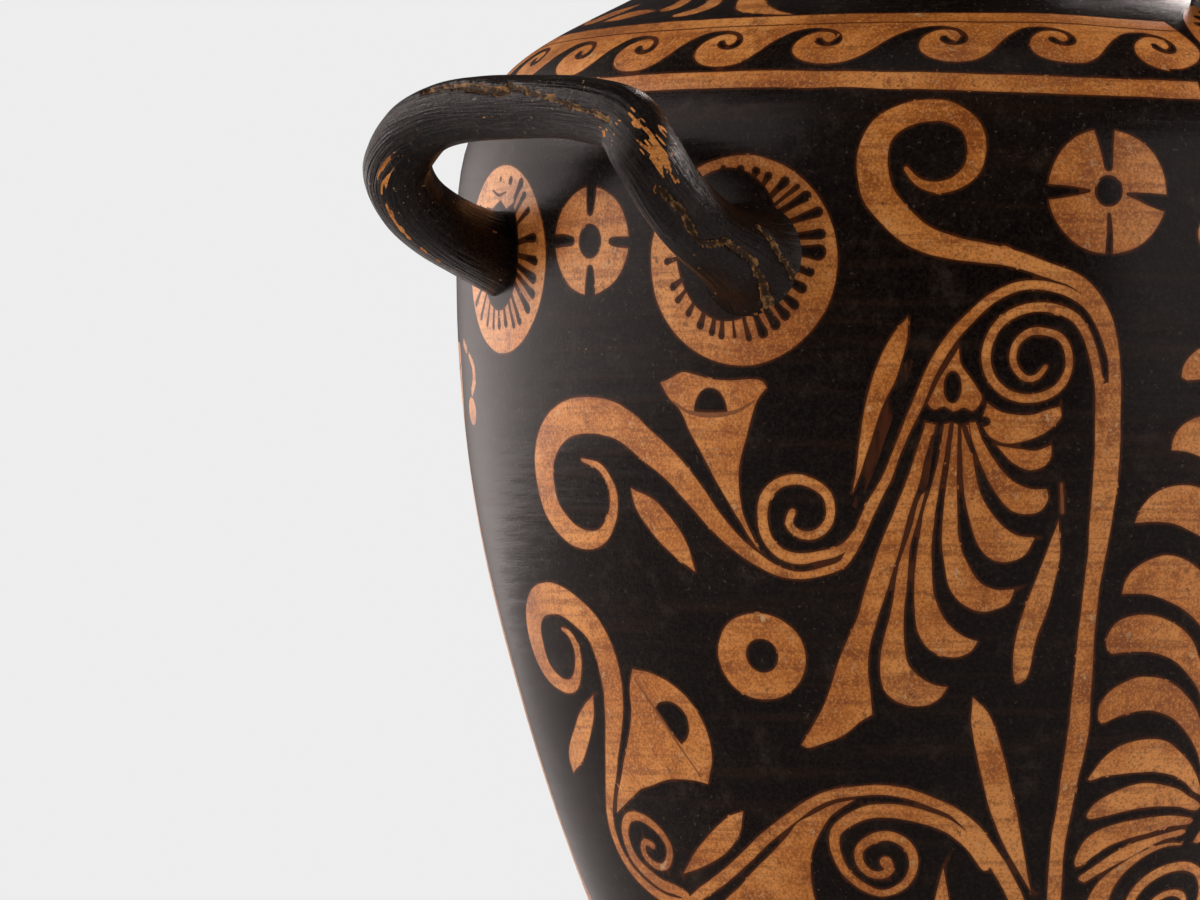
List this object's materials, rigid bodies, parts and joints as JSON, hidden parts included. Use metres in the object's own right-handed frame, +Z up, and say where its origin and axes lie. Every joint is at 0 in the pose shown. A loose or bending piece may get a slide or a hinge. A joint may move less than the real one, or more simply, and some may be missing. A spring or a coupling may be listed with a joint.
{
  "type": "painted terracotta hydria",
  "caption": "Hollow terracotta water jar with a ring foot, two U-shaped side handles, a tall back handle and painted scrolls in black gloss.",
  "frame": {"origin": "on the jar's axis, at the surface that the foot stands on", "axes": "+Z up along the jar's axis, -Y the front with the painted scene, +Y the back handle, +X and -X the side handles"},
  "size_m": [0.3632, 0.2802, 0.496],
  "materials": {
    "gloss_and_clay": "black gloss slip with a soft shine over orange-brown fired clay, the painted ornament left in the clay's colour"
  },
  "bodies": {
    "root": {"hydria": "gloss_and_clay"}
  },
  "joints": []
}
